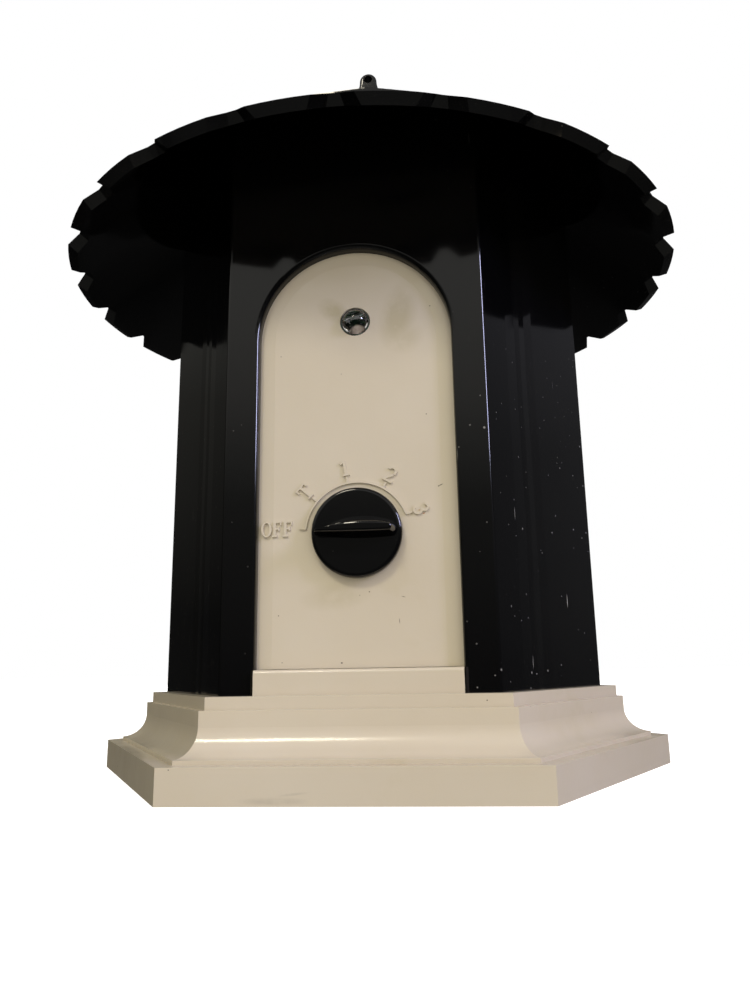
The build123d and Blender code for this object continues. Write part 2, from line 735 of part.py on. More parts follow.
with BuildPart() as knob:
    with BuildSketch(at_y(KNOB_BACK_Y)):
        with Locations((0, KNOB_Z)):
            Circle(KNOB_R)
    extrude(amount=KNOB_THICK)
    fillet(knob.faces().sort_by(Axis.Y)[0].edges(), 0.7)
    # grip blade: a narrow crest above flanks that spread to the disc, pointed at its pointer end
    with BuildSketch(at_y(KNOB_FACE_Y + 0.1)):
        add(grip_outline(GRIP_FOOT))
    for angle in map(math.radians, GRIP_ROUND_STEPS):
        below_crest = GRIP_ROUND * (1 - math.sin(angle))
        with BuildSketch(at_y(KNOB_FACE_Y - GRIP_PROUD + below_crest)):
            add(grip_outline(GRIP_CREST, GRIP_ROUND * (1 - math.cos(angle))))
    loft(ruled=True)
    # hub behind the disc, and the socket for the spindle
    with BuildSketch(at_y(KNOB_BACK_Y)):
        with Locations((0, KNOB_Z)):
            Circle(HUB_R)
    extrude(amount=-HUB_DEEP)
    with BuildSketch(at_y(KNOB_BACK_Y + HUB_DEEP)):
        with Locations((0, KNOB_Z)):
            Circle(SPINDLE_R + 0.02)
    extrude(amount=SOCKET_DEEP, mode=Mode.SUBTRACT)
knob.part.label = "knob"
export_step(knob.part, "parts/knob.step")

spindle_front = KNOB_BACK_Y + HUB_DEEP - SOCKET_DEEP + 0.1
wiper_back = WIPER_FRONT_Y + WIPER_THICK
with BuildPart() as knob_spindle:
    with BuildSketch(at_y(wiper_back)):
        with Locations((0, KNOB_Z)):
            Circle(SPINDLE_R)
    extrude(amount=wiper_back - spindle_front)
    chamfer(knob_spindle.faces().sort_by(Axis.Y)[0].edges(), 0.3)
knob_spindle.part.label = "knob_spindle"
export_step(knob_spindle.part, "parts/knob_spindle.step")

with BuildPart() as switch_wiper:
    with BuildSketch(at_y(wiper_back)):
        with Locations((0, KNOB_Z)):
            Circle(WIPER_R)
            Circle(SPINDLE_R + 0.02, mode=Mode.SUBTRACT)
    extrude(amount=WIPER_THICK)
switch_wiper.part.label = "switch_wiper"
export_step(switch_wiper.part, "parts/switch_wiper.step")

with BuildPart() as switch_body:
    with BuildSketch(at_y(BOARD_Y)):
        with Locations((0, KNOB_Z)):
            RectangleRounded(2 * SWITCH_HALF, 2 * SWITCH_HALF, 0.8)
    extrude(amount=BOARD_Y - SWITCH_FRONT_Y)
    with BuildSketch(at_y(SWITCH_FRONT_Y)):
        with Locations((0, KNOB_Z)):
            Circle(SWITCH_NOSE_R)
    extrude(amount=SWITCH_NOSE)
    # room for the wiper, then the spindle's way through the front
    with BuildSketch(at_y(BOARD_Y - SWITCH_BACK)):
        with Locations((0, KNOB_Z)):
            Circle(SWITCH_BORE_R)
    extrude(amount=BOARD_Y - SWITCH_BACK - (WIPER_FRONT_Y - WIPER_PLAY), mode=Mode.SUBTRACT)
    with BuildSketch(at_y(WIPER_FRONT_Y)):
        with Locations((0, KNOB_Z)):
            Circle(SPINDLE_R + RUNNING)
    extrude(amount=WIPER_FRONT_Y - SWITCH_FRONT_Y + SWITCH_NOSE, mode=Mode.SUBTRACT)
switch_body.part.label = "switch_body"
export_step(switch_body.part, "parts/switch_body.step")

nose_front = SWITCH_FRONT_Y - SWITCH_NOSE
with BuildPart() as shaft_seal:
    with BuildSketch(at_y(nose_front)):
        with Locations((0, KNOB_Z)):
            Circle(SEAL_R)
            Circle(SPINDLE_R + 0.35, mode=Mode.SUBTRACT)
    extrude(amount=nose_front - PANEL_BACK_Y)
shaft_seal.part.label = "shaft_seal"
export_step(shaft_seal.part, "parts/shaft_seal.step")


# ---------------------------------------------------------------- circuit board and what it carries
led_tip = CROWN_Y - LED_PROUD
led_body = LED_BASE_Y - 1.0
with BuildPart() as led_lens:
    with BuildSketch(at_y(LED_BASE_Y)):
        with Locations((0, LED_Z)):
            Circle(LED_FLANGE_R)
    extrude(amount=LED_BASE_Y - led_body)
    with BuildSketch(Plane.YZ):
        with BuildLine():
            shoulder = led_tip + LED_R
            collar = CROWN_Y + LED_COLLAR_DEEP
            Polyline((led_body, LED_Z), (led_body, LED_Z + LED_COLLAR_R), (collar, LED_Z + LED_COLLAR_R),
                     (collar, LED_Z + LED_R * math.cos(math.asin((shoulder - collar) / LED_R))))
            start = 180 - math.degrees(math.acos((shoulder - collar) / LED_R))
            CenterArc((shoulder, LED_Z), LED_R, start, 180 - start)
            Line((led_tip, LED_Z), (led_body, LED_Z))
        make_face()
    revolve(axis=Axis((0, 0, LED_Z), (0, 1, 0)))
led_lens.part.label = "led_lens"
export_step(led_lens.part, "parts/led_lens.step")

with BuildPart() as led_leads:
    with BuildSketch(at_y(BOARD_BACK_Y + 1.0)):
        with Locations((-LED_LEAD_X, LED_Z), (LED_LEAD_X, LED_Z)):
            Rectangle(LED_LEAD_WIDE, LED_LEAD_WIDE)
    extrude(amount=BOARD_BACK_Y + 1.0 - LED_BASE_Y)
led_leads.part.label = "led_leads"
export_step(led_leads.part, "parts/led_leads.step")

with BuildPart() as circuit_board:
    with BuildSketch(at_y(BOARD_BACK_Y)):
        with Locations((0, (BOARD_FOOT + BOARD_TOP) / 2)):
            Rectangle(2 * BOARD_HALF, BOARD_TOP - BOARD_FOOT)
        with Locations((-LED_LEAD_X, LED_Z), (LED_LEAD_X, LED_Z)):
            Rectangle(LED_LEAD_WIDE + 0.1, LED_LEAD_WIDE + 0.1, mode=Mode.SUBTRACT)
    extrude(amount=BOARD_THICK)
circuit_board.part.label = "circuit_board"
export_step(circuit_board.part, "parts/circuit_board.step")

with BuildPart() as logic_chip:
    with BuildSketch(at_rear(BOARD_BACK_Y + CHIP_LIFT)):
        with Locations(CHIP_AT):
            Rectangle(*CHIP_SIZE)
    extrude(amount=CHIP_THICK)
    chamfer(logic_chip.faces().sort_by(Axis.Y)[-1].edges(), 0.4)
    with BuildSketch(at_rear(BOARD_BACK_Y)):
        for side in (-1, 1):
            with Locations((CHIP_AT[0] + side * CHIP_LEAD_X, CHIP_AT[1])):
                with GridLocations(0, CHIP_PITCH, 1, CHIP_LEADS):
                    Rectangle(*CHIP_LEAD)
    extrude(amount=2.0)
logic_chip.part.label = "logic_chip"
export_step(logic_chip.part, "parts/logic_chip.step")

with BuildPart() as drive_transformer:
    with BuildSketch(at_rear(BOARD_BACK_Y)):
        with Locations(TRANSFORMER_AT):
            Rectangle(*TRANSFORMER_SIZE[:2])
    extrude(amount=TRANSFORMER_SIZE[2])
    fillet(drive_transformer.edges().filter_by(Axis.Y), 0.8)
drive_transformer.part.label = "drive_transformer"
export_step(drive_transformer.part, "parts/drive_transformer.step")

with BuildPart() as capacitors:
    with BuildSketch(at_rear(BOARD_BACK_Y)):
        with Locations(*CAPACITORS_AT):
            Circle(CAPACITOR_R)
    extrude(amount=CAPACITOR_LONG)
    fillet(capacitors.faces().sort_by(Axis.Y)[-2:].edges(), 0.4)
capacitors.part.label = "capacitors"
export_step(capacitors.part, "parts/capacitors.step")


# ---------------------------------------------------------------- sounder and microphone
panel_rear = -PANEL_BACK_Y
with BuildPart() as sounder_grille:
    with BuildSketch(at_y(panel_rear)):
        with Locations((0, HORN_Z)):
            Circle(HORN_R + 1.0)
            with HexLocations(GRILLE_PITCH_R, GRILLE_HOLES, GRILLE_HOLES):
                Circle(GRILLE_HOLE_R, mode=Mode.SUBTRACT)
    extrude(amount=GRILLE_THICK)
sounder_grille.part.label = "sounder_grille"
export_step(sounder_grille.part, "parts/sounder_grille.step")

with BuildPart() as sounder_gasket:
    with BuildSketch(at_y(panel_rear - GRILLE_THICK)):
        with Locations((0, HORN_Z)):
            Circle(HORN_R + 1.0)
            Circle(HORN_R - 0.5, mode=Mode.SUBTRACT)
    extrude(amount=HORN_BOSS_LONG - GRILLE_THICK)
sounder_gasket.part.label = "sounder_gasket"
export_step(sounder_gasket.part, "parts/sounder_gasket.step")

case_front = panel_rear - HORN_BOSS_LONG
case_rear = case_front - CASE_DEEP
with BuildPart() as sounder_case:
    with BuildSketch(at_y(case_front)):
        with Locations((0, HORN_Z)):
            Circle(CASE_FLANGE_R)
    extrude(amount=CASE_WALL)
    with BuildSketch(at_y(case_front - CASE_WALL)):
        with Locations((0, HORN_Z)):
            Circle(CASE_R)
    extrude(amount=CASE_DEEP - CASE_WALL)
    with BuildSketch(at_y(case_front)):
        with Locations((0, HORN_Z)):
            Circle(CASE_R - CASE_WALL)
    extrude(amount=CASE_DEEP - CASE_WALL, mode=Mode.SUBTRACT)
    with BuildSketch(at_y(case_front)):
        with Locations(*HORN_SCREWS):
            Circle(SCREW_HOLE_R)
    extrude(amount=CASE_WALL, mode=Mode.SUBTRACT)
sounder_case.part.label = "sounder_case"
export_step(sounder_case.part, "parts/sounder_case.step")

cone_mouth = case_front - 0.4
cone_deep = case_rear + 4.0
cone_rim = CASE_R - CASE_WALL - 0.1
cone_r = cone_rim - 1.5
with BuildPart() as sounder_cone:
    with BuildSketch(Plane.YZ):
        with BuildLine():
            Polyline(
                (cone_mouth, HORN_Z + cone_rim),
                (cone_mouth, HORN_Z + cone_r),
                (cone_deep, HORN_Z + 1.0),
                (cone_deep - 0.6, HORN_Z + 1.0),
                (cone_deep - 0.6, HORN_Z + 2.0),
                (cone_mouth - CONE_THICK, HORN_Z + cone_r + 0.9),
                (cone_mouth - CONE_THICK, HORN_Z + cone_rim),
                close=True,
            )
        make_face()
    revolve(axis=Axis((0, 0, HORN_Z), (0, 1, 0)))
sounder_cone.part.label = "sounder_cone"
export_step(sounder_cone.part, "parts/sounder_cone.step")

with BuildPart() as piezo_disc:
    with BuildSketch(at_y(cone_deep - 0.6)):
        with Locations((0, HORN_Z)):
            Circle(PIEZO_R)
    extrude(amount=PIEZO_THICK)
piezo_disc.part.label = "piezo_disc"
export_step(piezo_disc.part, "parts/piezo_disc.step")

with BuildPart() as sounder_screws:
    with BuildSketch(at_y(case_front - CASE_WALL)):
        with Locations(*HORN_SCREWS):
            Circle(HEAD_R - 0.3)
    extrude(amount=1.5)
    with BuildSketch(at_y(case_front - CASE_WALL)):
        with Locations(*HORN_SCREWS):
            Circle(SCREW_R)
    extrude(amount=-(CASE_WALL + HORN_BOSS_LONG - 0.6))
sounder_screws.part.label = "sounder_screws"
export_step(sounder_screws.part, "parts/sounder_screws.step")

with BuildPart() as microphone_boot:
    with BuildSketch(at_y(panel_rear)):
        with Locations((0, MIC_Z)):
            Circle(MIC_BOOT_R)
            Circle(MIC_R, mode=Mode.SUBTRACT)
    extrude(amount=MIC_BOOT_LONG)
microphone_boot.part.label = "microphone_boot"
export_step(microphone_boot.part, "parts/microphone_boot.step")

with BuildPart() as microphone:
    with BuildSketch(at_y(panel_rear - MIC_SETBACK)):
        with Locations((0, MIC_Z)):
            Circle(MIC_R - 0.02)
    extrude(amount=MIC_LONG)
microphone.part.label = "microphone"
export_step(microphone.part, "parts/microphone.step")


# ---------------------------------------------------------------- wires inside the casing
def wire(points, radius, bends):
    """Round wire along straight runs joined by tangent arcs."""
    with BuildPart(mode=Mode.PRIVATE) as lead:
        with BuildLine() as route:
            FilletPolyline(*points, radius=bends)
        start = Vector(*points[0])
        heading = Vector(*points[1]) - start
        with BuildSketch(Plane(origin=start, z_dir=heading)):
            Circle(radius)
        sweep(path=route.line)
    return lead.part


def battery_wire(x):
    """Lead from the snap up over the bay to the back of the circuit board."""
    return wire([(x, 0, snap_top), (x, 0, 62.0), (x, -8.0, 66.0), (x, BOARD_BACK_Y, 66.0)], 0.7, 3.0)


with BuildPart() as battery_lead_red:
    add(battery_wire(8.0))
battery_lead_red.part.label = "battery_lead_red"
export_step(battery_lead_red.part, "parts/battery_lead_red.step")

with BuildPart() as battery_lead_black:
    add(battery_wire(-8.0))
battery_lead_black.part.label = "battery_lead_black"
export_step(battery_lead_black.part, "parts/battery_lead_black.step")

with BuildPart() as sounder_leads:
    for x in (-4.0, 4.0):
        route = [(x, case_rear, HORN_Z), (x, 12.0, HORN_Z), (x, -8.0, 96.0), (x, BOARD_BACK_Y, 96.0)]
        add(wire(route, 0.6, 5.0))
sounder_leads.part.label = "sounder_leads"
export_step(sounder_leads.part, "parts/sounder_leads.step")

mic_back = panel_rear - MIC_SETBACK - MIC_LONG
with BuildPart() as microphone_leads:
    for x in (-1.5, 1.5):
        route = [(x, mic_back, MIC_Z), (x, 26.0, MIC_Z), (x, -2.0, 70.0), (x, BOARD_BACK_Y, 70.0)]
        add(wire(route, 0.5, 5.0))
microphone_leads.part.label = "microphone_leads"
export_step(microphone_leads.part, "parts/microphone_leads.step")


# ---------------------------------------------------------------- ceiling plate and roof
with BuildPart() as ceiling_plate:
    with BuildSketch(Plane.XY.offset(CEILING_LOW)):
        add(hexagon(INNER_R - 0.6))
        Circle(CEILING_HOLE_R, mode=Mode.SUBTRACT)
        with Locations(*ROOF_BOSS):
            Circle(SCREW_HOLE_R, mode=Mode.SUBTRACT)
    extrude(amount=CEILING_TOP - CEILING_LOW)
ceiling_plate.part.label = "ceiling_plate"
export_step(ceiling_plate.part, "parts/ceiling_plate.step")

with BuildPart() as roof_screws:
    with Locations(*[(x, y, 0) for x, y in ROOF_BOSS]):
        add(upward_screw(CEILING_LOW - HEAD_H, ROOF_SCREW))
roof_screws.part.label = "roof_screws"
export_step(roof_screws.part, "parts/roof_screws.step")


def course_profile():
    """Roof section: overlapping courses above, smooth cone below, bevelled rim."""
    points = [(0, UNDER_APEX_Z), (UNDER_R, RIM_Z - RIM_DROP), (RIM_R, RIM_Z)]
    for step in range(1, COURSES + 1):
        r = RIM_R - COURSE_RUN * step
        z = RIM_Z + COURSE_RUN * step * TAN_SLOPE
        points += [(r, z - COURSE_STEP), (r, z)]
    points += [(0, APEX_Z)]
    return points


def on_roof(radius, angle, lift):
    """Plane lying on the roof's slope, x around the rim and y down the slope."""
    a = math.radians(angle)
    s = math.radians(SLOPE)
    outward = Vector(math.cos(a), math.sin(a), 0)
    normal = outward * math.sin(s) + Vector(0, 0, math.cos(s))
    spot = outward * radius + Vector(0, 0, APEX_Z - radius * TAN_SLOPE) + normal * lift
    return Plane(origin=spot, x_dir=(-math.sin(a), math.cos(a), 0), z_dir=normal)


def notch():
    """V-shaped notch between two rim tabs, opening wider towards the underside."""
    outer = on_roof(RIM_R, 270, 0.5)
    inner = on_roof(RIM_R, 270, -NOTCH_DEPTH)
    # each level: its plane, half width at the rim, half width at the root, reach inwards, setback
    levels = ((outer, 4.6, 0.75, 2.5, 0.0), (inner, 7.6, 1.9, 2.7, 1.2))
    with BuildPart(mode=Mode.PRIVATE) as cut:
        for plane, half, root, reach, setback in levels:
            with BuildSketch(plane):
                with BuildLine():
                    side = -1 if plane.y_dir.Z > 0 else 1
                    near = side * (-setback - reach)
                    far = side * (1.6 - setback)
                    Polyline((-root, near), (root, near), (half, far), (-half, far), close=True)
                make_face()
        loft()
    return cut.part


def hanging_eye():
    """Rounded lug on the apex, flaring out where it meets the cone; its hole is cut later."""
    shoulder = EYE_TOP - EYE_HALF
    with BuildPart(mode=Mode.PRIVATE) as eye:
        with BuildSketch(Plane.XZ.offset(-EYE_THICK / 2)):
            with BuildLine():
                Line((-EYE_FLARE, EYE_FOOT), (EYE_FLARE, EYE_FOOT))
                TangentArc((EYE_HALF, shoulder), (EYE_FLARE, EYE_FOOT), tangent=(0, -1))
                CenterArc((0, shoulder), EYE_HALF, 0, 180)
                TangentArc((-EYE_HALF, shoulder), (-EYE_FLARE, EYE_FOOT), tangent=(0, -1))
            make_face()
        extrude(amount=EYE_THICK)
        sides = [e for e in eye.edges() if abs(abs(e.center().Y) - EYE_THICK / 2) < 0.01]
        fillet([e for e in sides if e.center().Z > EYE_FOOT + 0.01], EYE_ROUND)
    return eye.part


with BuildPart() as roof_shell:
    with BuildSketch(Plane.XZ):
        with BuildLine():
            Polyline(*course_profile(), close=True)
        make_face()
    revolve(axis=Axis.Z)
    with PolarLocations(0, TABS):
        add(notch(), mode=Mode.SUBTRACT)
    # joints between the shingles of the upper courses, staggered course by course
    for course in range(1, COURSES):
        low_r = RIM_R - course * COURSE_RUN
        length = COURSE_RUN / math.cos(math.radians(SLOPE)) - 1.5
        count = SHINGLES[course - 1]
        spots = [on_roof(low_r - COURSE_RUN / 2, 270 + (k + 0.5 * (course % 2)) * 360 / count, 0)
                 for k in range(count)]
        with Locations(*spots):
            Box(JOINT_WIDTH, length, 2 * JOINT_DEPTH + COURSE_STEP, mode=Mode.SUBTRACT)
    # screw bosses under the cone
    with BuildSketch(Plane.XY.offset(CEILING_TOP)):
        with Locations(*ROOF_BOSS):
            Circle(BOSS_R + 0.1)
    extrude(until=Until.NEXT)
    with BuildSketch(Plane.XY.offset(CEILING_TOP)):
        with Locations(*ROOF_BOSS):
            Circle(PILOT_R)
    extrude(amount=ROOF_SCREW - 1.0, mode=Mode.SUBTRACT)
    add(hanging_eye())
    with BuildSketch(Plane.XZ.offset(-EYE_THICK / 2 - 1)):
        with Locations((0, EYE_HOLE_Z)):
            Circle(EYE_HOLE_R)
    extrude(amount=EYE_THICK + 2, mode=Mode.SUBTRACT)
roof_shell.part.label = "roof_shell"
export_step(roof_shell.part, "parts/roof_shell.step")
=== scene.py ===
import json
import math

import bmesh
import bpy
from mathutils import Matrix, Vector


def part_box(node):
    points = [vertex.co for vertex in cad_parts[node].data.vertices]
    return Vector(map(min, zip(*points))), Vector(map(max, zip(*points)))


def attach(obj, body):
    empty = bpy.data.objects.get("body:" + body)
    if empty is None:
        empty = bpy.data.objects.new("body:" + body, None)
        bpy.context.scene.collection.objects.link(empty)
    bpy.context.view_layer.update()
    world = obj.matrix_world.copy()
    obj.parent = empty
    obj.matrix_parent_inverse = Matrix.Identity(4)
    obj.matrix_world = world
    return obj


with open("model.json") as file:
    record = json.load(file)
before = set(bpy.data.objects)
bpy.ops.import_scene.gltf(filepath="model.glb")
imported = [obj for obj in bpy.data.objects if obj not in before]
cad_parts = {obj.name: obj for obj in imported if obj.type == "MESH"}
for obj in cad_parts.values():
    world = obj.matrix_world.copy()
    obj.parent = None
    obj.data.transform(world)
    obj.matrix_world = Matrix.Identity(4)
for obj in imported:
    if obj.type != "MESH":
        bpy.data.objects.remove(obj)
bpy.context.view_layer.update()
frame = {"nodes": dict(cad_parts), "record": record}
NODES = frame["nodes"]
MM = 0.001


# ---------------------------------------------------------------- camera, floor and light
# The lens stands close to the control side, a little above the table, and looks slightly up.
CAMERA_AT = Vector((0.01483, -0.17644, 0.01998))
CAMERA_YAW = -4.85
CAMERA_PITCH = 12.42
CAMERA_ROLL = -0.97
CAMERA_LENS = 27.91
SENSOR_WIDE = 36
NEAREST = 0.01
FARTHEST = 20

# Light as ramps of colour over direction. SOFT_LIGHT, which matt surfaces see, runs from away from KEY_FROM at
# 0 to straight at it at 1. The room, which gloss reflects, runs from down at 0 to up at 1, with one ramp for
# what is in front of the control side and one for each side behind it.
KEY_FROM = (0.45, -0.80, 0.52)
SOFT_LIGHT = ((0.0, (0.08, 0.08, 0.08)), (0.35, (0.11, 0.10, 0.09)), (0.5, (0.27, 0.25, 0.22)),
              (0.75, (0.70, 0.65, 0.56)), (1.0, (1.12, 1.05, 0.92)))
ROOM_FRONT = ((0.0, (0.15, 0.15, 0.14)), (0.12, (0.12, 0.12, 0.11)), (0.28, (0.02, 0.02, 0.02)),
              (0.49, (0.03, 0.03, 0.03)), (0.55, (0.075, 0.075, 0.07)), (0.605, (0.12, 0.12, 0.11)),
              (0.638, (0.26, 0.26, 0.24)), (0.667, (0.44, 0.43, 0.40)), (0.73, (0.62, 0.61, 0.57)),
              (1.0, (0.5, 0.5, 0.5)))
ROOM_LEFT = ((0.0, (0.10, 0.10, 0.10)), (0.28, (0.01, 0.01, 0.01)), (0.533, (0.009, 0.009, 0.009)),
             (0.667, (0.038, 0.037, 0.033)), (0.8, (0.12, 0.12, 0.11)), (1.0, (0.4, 0.4, 0.4)))
ROOM_RIGHT = ((0.0, (0.10, 0.10, 0.10)), (0.28, (0.015, 0.015, 0.015)), (0.49, (0.03, 0.03, 0.03)),
              (0.53, (0.042, 0.042, 0.042)), (0.634, (0.058, 0.058, 0.06)), (0.72, (0.10, 0.10, 0.11)),
              (0.85, (0.22, 0.22, 0.22)), (1.0, (0.4, 0.4, 0.4)))
LEFT_TO_RIGHT = ((0.35, (0, 0, 0)), (0.65, (1, 1, 1)))
BACK_TO_FRONT = ((0.42, (0, 0, 0)), (0.62, (1, 1, 1)))

# Lamps: name, place and aim in metres, width and height, watts, colour, and whether matt and whether glossy
# surfaces see it.
LIGHTS = (
    ("window_right", (1.1, -0.52, 0.60), (0, 0, 0.08), (0.20, 0.40), 7.5, (0.60, 0.57, 1.0), True, True),
    ("glint_right", (1.1, -0.60, 0.60), (0, 0, 0.08), (0.30, 0.42), 4, (0.72, 0.80, 1.0), False, True),
    ("lamp_front", (-0.30, -0.9, 0.95), (0, 0, 0.06), (0.3, 0.2), 5, (1.0, 0.92, 0.74), True, True),
    ("fill_rear", (-0.25, 1.1, 0.7), (0, 0, 0.08), (0.7, 0.5), 12, (1.0, 0.98, 0.95), True, False),
)
FLOOR_REACH = 6.0
FLOOR_GLOW = 0.72


def make_camera():
    """A camera turned by yaw, then pitched up, then rolled about its own line of sight."""
    yaw, pitch, roll = (math.radians(a) for a in (CAMERA_YAW, CAMERA_PITCH, CAMERA_ROLL))
    forward = Vector((math.sin(yaw) * math.cos(pitch), math.cos(yaw) * math.cos(pitch), math.sin(pitch)))
    right = Vector((math.cos(yaw), -math.sin(yaw), 0))
    up = right.cross(forward)
    tilted_right = math.cos(roll) * right + math.sin(roll) * up
    tilted_up = -math.sin(roll) * right + math.cos(roll) * up
    data = bpy.data.cameras.new("camera")
    data.sensor_width = SENSOR_WIDE
    data.lens = CAMERA_LENS
    data.clip_start = NEAREST
    data.clip_end = FARTHEST
    camera = bpy.data.objects.new("camera", data)
    bpy.context.scene.collection.objects.link(camera)
    camera.matrix_world = Matrix.Translation(CAMERA_AT) @ Matrix(
        (tilted_right, tilted_up, -forward)
    ).transposed().to_4x4()
    bpy.context.scene.camera = camera


def area_light(name, at, aim, size, power, colour, matt, glossy):
    data = bpy.data.lights.new(name, "AREA")
    data.shape = "RECTANGLE"
    data.size, data.size_y = size
    data.energy = power
    data.color = colour
    light = bpy.data.objects.new(name, data)
    light.location = at
    light.rotation_euler = (Vector(aim) - Vector(at)).to_track_quat("-Z", "Y").to_euler()
    light.visible_camera = False
    light.visible_diffuse = matt
    light.visible_glossy = glossy
    bpy.context.scene.collection.objects.link(light)


def make_world():
    """A white backdrop, soft light that comes mostly from the front right, and a dim room to reflect."""
    world = bpy.data.worlds.new("studio")
    bpy.context.scene.world = world
    world.use_nodes = True
    tree = world.node_tree
    tree.nodes.clear()
    link = tree.links.new
    where = tree.nodes.new("ShaderNodeTexCoord").outputs["Generated"]
    path = tree.nodes.new("ShaderNodeLightPath")

    def along(direction):
        """How far a ray points along a direction, from 0 for straight away to 1 for straight at it."""
        dot = tree.nodes.new("ShaderNodeVectorMath")
        dot.operation = "DOT_PRODUCT"
        link(where, dot.inputs[0])
        dot.inputs[1].default_value = Vector(direction).normalized()
        half = tree.nodes.new("ShaderNodeMath")
        half.operation = "MULTIPLY_ADD"
        half.inputs[1].default_value = 0.5
        half.inputs[2].default_value = 0.5
        link(dot.outputs["Value"], half.inputs[0])
        return half.outputs[0]

    def ramp(value, stops):
        made = tree.nodes.new("ShaderNodeValToRGB")
        set_ramp(made, stops)
        link(value, made.inputs["Fac"])
        return made.outputs["Color"]

    def background(colour):
        made = tree.nodes.new("ShaderNodeBackground")
        if isinstance(colour, tuple):
            made.inputs["Color"].default_value = (*colour, 1)
        else:
            link(colour, made.inputs["Color"])
        return made.outputs[0]

    def blend(share, first, second, kind="ShaderNodeMixShader"):
        made = tree.nodes.new(kind)
        link(share, made.inputs[0])
        link(first, made.inputs[1])
        link(second, made.inputs[2])
        return made.outputs[0]

    glow = background(ramp(along(KEY_FROM), SOFT_LIGHT))
    up = along((0, 0, 1))
    rightward = ramp(along((1, 0, 0)), LEFT_TO_RIGHT)
    back = blend(rightward, ramp(up, ROOM_LEFT), ramp(up, ROOM_RIGHT), "ShaderNodeMixRGB")
    facing = ramp(along((0, -1, 0)), BACK_TO_FRONT)
    room = background(blend(facing, back, ramp(up, ROOM_FRONT), "ShaderNodeMixRGB"))
    lit = blend(path.outputs["Is Diffuse Ray"], room, glow)
    out = tree.nodes.new("ShaderNodeOutputWorld")
    link(blend(path.outputs["Is Camera Ray"], lit, background((1, 1, 1))), out.inputs["Surface"])


def set_ramp(ramp, stops):
    """Gives a colour ramp its stops, each a position and an RGB colour."""
    elements = ramp.color_ramp.elements
    while len(elements) > 1:
        elements.remove(elements[-1])
    for i, (position, colour) in enumerate(stops):
        element = elements[0] if i == 0 else elements.new(position)
        element.position = position
        element.color = (*colour, 1)


def make_floor():
    """A plain pale floor that glows a little, so that it meets the backdrop without an edge."""
    mesh = bpy.data.meshes.new("floor")
    corners = ((-1, -1), (1, -1), (1, 1), (-1, 1))
    mesh.from_pydata([(x * FLOOR_REACH, y * FLOOR_REACH, 0) for x, y in corners], [], [(0, 1, 2, 3)])
    floor = bpy.data.objects.new("floor", mesh)
    bpy.context.scene.collection.objects.link(floor)
    finish = bpy.data.materials.new("floor_white")
    finish.use_nodes = True
    shader = finish.node_tree.nodes["Principled BSDF"]
    shader.inputs["Base Color"].default_value = (0.8, 0.8, 0.8, 1)
    shader.inputs["Roughness"].default_value = 0.9
    shader.inputs["Specular IOR Level"].default_value = 0.1
    shader.inputs["Emission Color"].default_value = (1, 1, 1, 1)
    shader.inputs["Emission Strength"].default_value = FLOOR_GLOW
    mesh.materials.append(finish)
    floor.visible_diffuse = False
    floor.visible_glossy = False


# ---------------------------------------------------------------- material helpers
class Shader:
    """A principled material with a few short ways to add procedural detail."""

    def __init__(self, name):
        self.material = bpy.data.materials.new(name)
        self.material.use_nodes = True
        self.tree = self.material.node_tree
        self.bsdf = self.tree.nodes["Principled BSDF"]
        self.coords = self.tree.nodes.new("ShaderNodeTexCoord").outputs["Object"]

    def set(self, **values):
        for key, value in values.items():
            self.bsdf.inputs[key.replace("_", " ")].default_value = value
        return self

    def node(self, kind, **settings):
        made = self.tree.nodes.new(kind)
        for key, value in settings.items():
            setattr(made, key, value)
        return made

    def link(self, a, b):
        self.tree.links.new(a, b)

    def stretched(self, scale=(1, 1, 1), turn=(0, 0, 0)):
        """The object's own coordinates, scaled and turned, for streaks that run one way."""
        mapping = self.node("ShaderNodeMapping")
        mapping.inputs["Scale"].default_value = scale
        mapping.inputs["Rotation"].default_value = turn
        self.link(self.coords, mapping.inputs["Vector"])
        return mapping.outputs["Vector"]

    def noise(self, scale, detail=3.0, rough=0.55, vector=None):
        n = self.node("ShaderNodeTexNoise")
        n.inputs["Scale"].default_value = scale
        n.inputs["Detail"].default_value = detail
        n.inputs["Roughness"].default_value = rough
        self.link(vector or self.coords, n.inputs["Vector"])
        return n.outputs["Fac"]

    def ramp(self, value, stops):
        r = self.node("ShaderNodeValToRGB")
        set_ramp(r, [(p, c if isinstance(c, tuple) else (c, c, c)) for p, c in stops])
        self.link(value, r.inputs["Fac"])
        return r.outputs["Color"]

    def math(self, operation, a, b, c=0.0):
        m = self.node("ShaderNodeMath", operation=operation)
        for socket, value in zip(m.inputs, (a, b, c)):
            if isinstance(value, (int, float)):
                socket.default_value = value
            else:
                self.link(value, socket)
        return m.outputs[0]

    def mix(self, share, a, b):
        m = self.node("ShaderNodeMix", data_type="RGBA")
        for socket, value in ((m.inputs[0], share), (m.inputs[6], a), (m.inputs[7], b)):
            if isinstance(value, tuple):
                socket.default_value = (*value, 1)
            elif isinstance(value, (int, float)):
                socket.default_value = value
            else:
                self.link(value, socket)
        return m.outputs[2]

    def bump(self, height, strength, distance, below=None):
        b = self.node("ShaderNodeBump")
        b.inputs["Strength"].default_value = strength
        b.inputs["Distance"].default_value = distance
        self.link(height, b.inputs["Height"])
        if below:
            self.link(below, b.inputs["Normal"])
        return b.outputs["Normal"]

    def to(self, socket, value):
        self.link(value, self.bsdf.inputs[socket])
        return self


